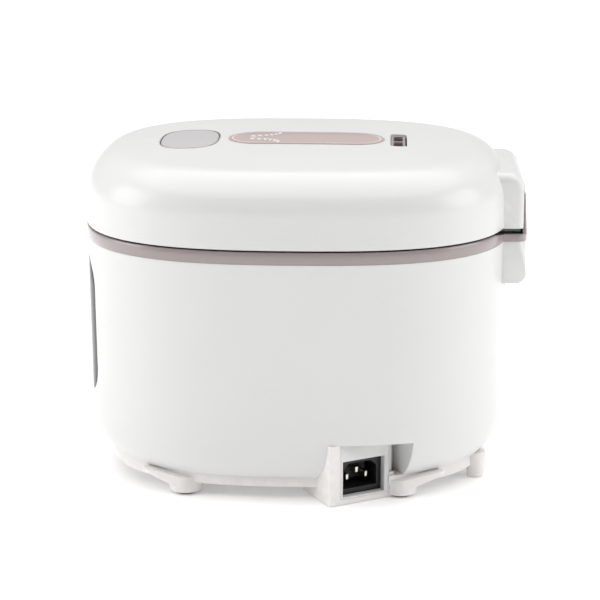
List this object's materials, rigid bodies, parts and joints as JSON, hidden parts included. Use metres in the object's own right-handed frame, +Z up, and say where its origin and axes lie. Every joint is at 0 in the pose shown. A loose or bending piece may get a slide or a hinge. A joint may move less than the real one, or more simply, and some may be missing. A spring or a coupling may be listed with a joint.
{
  "type": "rice cooker",
  "caption": "Oval electric rice cooker with hinged latched lid, release button, lift-out steam cap, inner pot on a heating plate and a rear-turned mains inlet.",
  "frame": {"origin": "middle of the footprint, on the surface that the feet stand on", "axes": "+Z up, -X the front with the control panel, +X the hinge side, -Y the side with the mains inlet"},
  "size_m": [0.291, 0.23, 0.2197],
  "materials": {
    "shell_plastic": "satin white",
    "pan_plastic": "matt warm white",
    "liner_plastic": "matt off-white",
    "trim_plastic": "satin rose taupe",
    "button_plastic": "satin grey",
    "label_plastic": "satin rose",
    "dark_plastic": "matt charcoal",
    "smoked_glass": "polished smoked black",
    "socket_plastic": "matt black",
    "foot_rubber": "matt",
    "seal_rubber": "matt silicone",
    "zinc_steel": "zinc plated",
    "spring_steel": "bright wire",
    "well_steel": "mill finish sheet",
    "lid_metal": "satin",
    "plate_metal": "cast, machined top",
    "element_metal": "heat-darkened",
    "pot_coating": "non-stick coating",
    "contact_metal": "nickel plated",
    "board_laminate": "solder mask",
    "part_plastic": "moulded",
    "mica": "heater foil",
    "fuse_ceramic": "glazed",
    "lead_pvc": "wire insulation"
  },
  "bodies": {
    "base": {"base_pan": "pan_plastic", "rubber_feet": "foot_rubber", "case_screws": "zinc_steel", "outer_shell": "shell_plastic", "trim_band": "trim_plastic", "rim_frame": "dark_plastic", "rear_housing": "shell_plastic", "hinge_bracket": "zinc_steel", "bracket_screws": "zinc_steel", "hinge_pin": "zinc_steel", "hinge_spring": "spring_steel", "latch_keeper": "zinc_steel", "pot_well": "well_steel", "side_heater": "mica", "heating_plate": "plate_metal", "heating_element": "element_metal", "thermal_fuse": "fuse_ceramic", "sensor_bracket": "well_steel", "sensor_spring": "spring_steel", "panel_lens": "smoked_glass", "panel_carrier": "dark_plastic", "display_board": "board_laminate", "led_display": "dark_plastic", "touch_pads": "part_plastic", "power_board": "board_laminate", "board_components": "part_plastic", "inlet_faceplate": "shell_plastic", "inlet_socket": "socket_plastic", "inlet_pins": "contact_metal", "mains_leads": "lead_pvc"},
    "pot": {"inner_pot": "pot_coating"},
    "sensor": {"sensor_cap": "lid_metal", "sensor_thermistor": "part_plastic"},
    "lid": {"lid_shell": "shell_plastic", "hinge_cover": "shell_plastic", "lid_liner": "liner_plastic", "lid_screws": "zinc_steel", "inner_lid": "lid_metal", "lid_gasket": "seal_rubber", "label_plate": "label_plastic", "button_bezel": "trim_plastic", "latch_pin": "zinc_steel", "latch_spring": "spring_steel", "button_spring": "spring_steel", "steam_duct": "dark_plastic"},
    "button": {"release_button": "button_plastic"},
    "latch": {"latch_hook": "dark_plastic"},
    "steam_cap": {"steam_cap": "trim_plastic"}
  },
  "joints": [
    {"name": "lid_hinge", "type": "hinge", "parent": "base", "child": "lid", "pos_m": [0.1355, 0, 0.184], "axis": [0, 1, 0], "range_deg": [0, 90]},
    {"name": "pot_turn", "type": "hinge", "parent": "base", "child": "pot", "pos_m": [-0.0055, 0, 0.0401], "axis": [0, 0, 1], "continuous": true},
    {"name": "sensor_travel", "type": "slide", "parent": "base", "child": "sensor", "axis": [0, 0, -1], "range_m": [0, 0.003], "stiffness_N_per_m": 400, "springref_m": -0.003, "deforming": ["sensor_spring"]},
    {"name": "button_press", "type": "slide", "parent": "lid", "child": "button", "axis": [0, 0, -1], "range_m": [0, 0.003], "stiffness_N_per_m": 500, "springref_m": -0.004, "deforming": ["button_spring"]},
    {"name": "latch_pivot", "type": "hinge", "parent": "lid", "child": "latch", "pos_m": [-0.1225, 0, 0.184], "axis": [0, 1, 0], "range_deg": [0, 6], "deforming": ["latch_spring"]},
    {"name": "steam_cap_lift", "type": "slide", "parent": "lid", "child": "steam_cap", "axis": [0, 0, 1], "range_m": [0, 0.04]}
  ],
  "couplings": [
    {"joint": "latch_pivot", "follows": "button_press", "rad_per_m": 34.907}
  ]
}
